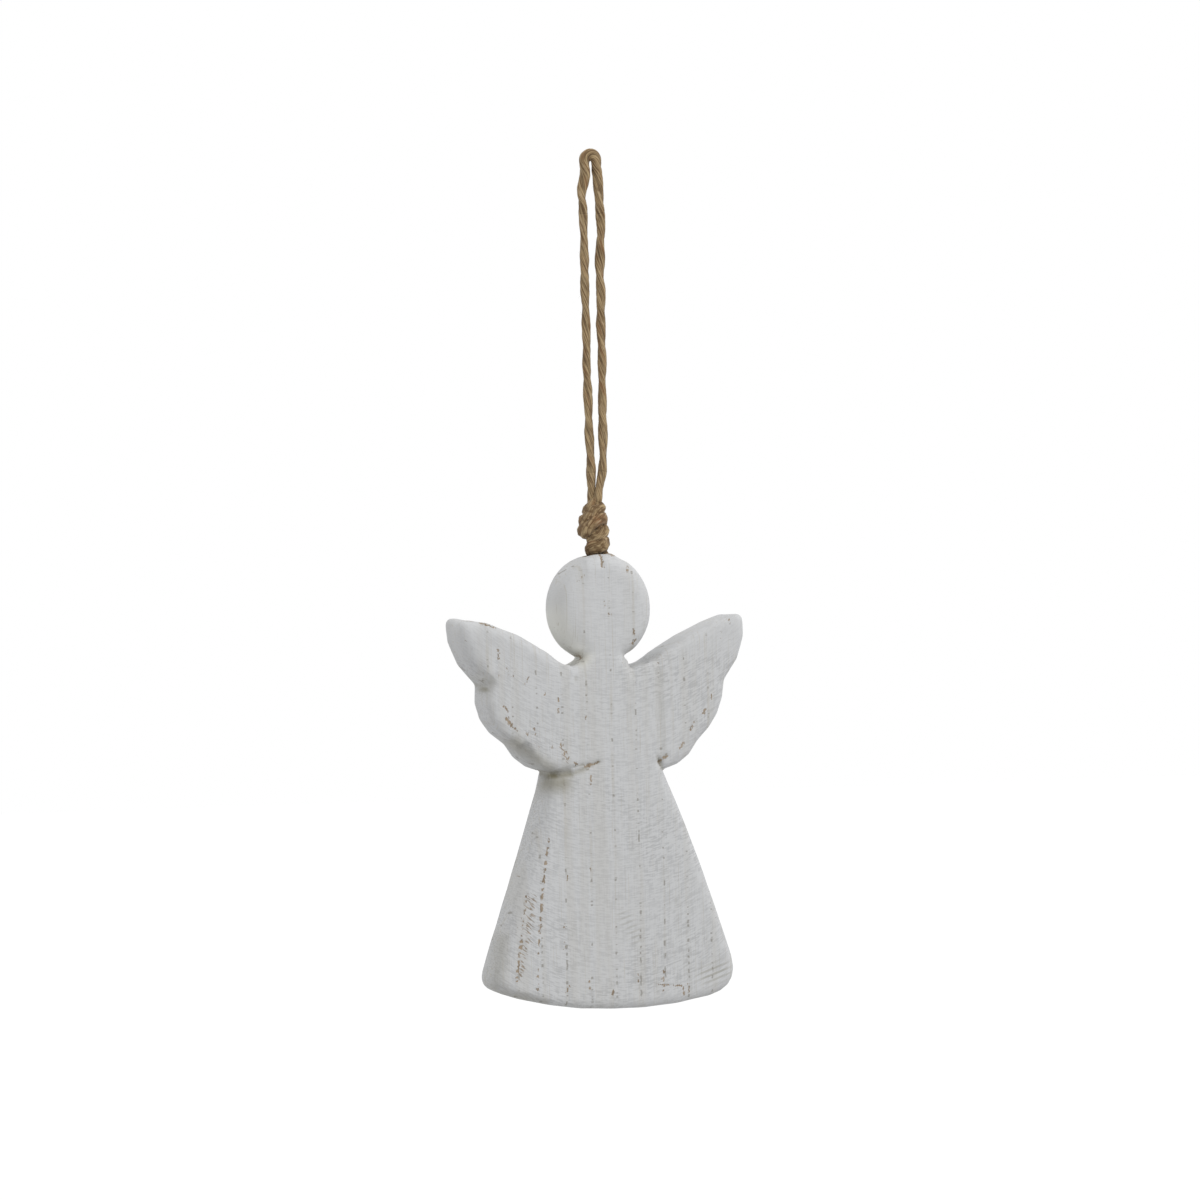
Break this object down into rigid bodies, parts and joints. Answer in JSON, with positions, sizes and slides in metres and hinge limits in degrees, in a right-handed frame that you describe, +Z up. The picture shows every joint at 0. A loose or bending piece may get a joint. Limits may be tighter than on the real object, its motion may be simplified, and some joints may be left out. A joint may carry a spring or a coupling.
{
  "type": "hanging angel ornament",
  "caption": "Flat wooden angel figure with rounded edges and worn white paint, hung by a knotted loop of jute twine.",
  "frame": {"origin": "inside the top of the twine loop, where a hook carries it", "axes": "+Z up along the twine, the figure's front towards -Y, +X to the viewer's right"},
  "size_m": [0.0713, 0.018, 0.2095],
  "materials": {
    "painted_wood": "white paint, worn through at edges and grain",
    "jute_twine": "natural two-ply jute",
    "set_glue": "set wood glue"
  },
  "bodies": {
    "hanger": {"twine_bight": "jute_twine"},
    "legs": {"twine_leg_left": "jute_twine", "twine_leg_right": "jute_twine"},
    "crossing": {"twine_crossing_left": "jute_twine", "twine_crossing_right": "jute_twine"},
    "figure": {"knot_core_strand": "jute_twine", "knot_turns": "jute_twine", "glue_plug": "set_glue", "angel_body": "painted_wood"}
  },
  "joints": [
    {"name": "sway", "type": "hinge", "parent": "hanger", "child": "legs", "pos_m": [0, 0, -0.0009], "axis": [0, 1, 0], "range_deg": [-60, 60], "deforming": ["twine_leg_left", "twine_leg_right"]},
    {"name": "twist", "type": "hinge", "parent": "legs", "child": "crossing", "pos_m": [0, 0, -0.07705], "axis": [0, 0, 1], "range_deg": [-180, 180], "stiffness_Nm_per_rad": 0.00002, "deforming": ["twine_leg_left", "twine_leg_right", "twine_crossing_left", "twine_crossing_right"]},
    {"name": "swing", "type": "hinge", "parent": "crossing", "child": "figure", "pos_m": [0, 0, -0.08415], "axis": [1, 0, 0], "range_deg": [-90, 90], "deforming": ["twine_crossing_left", "twine_crossing_right"]}
  ]
}
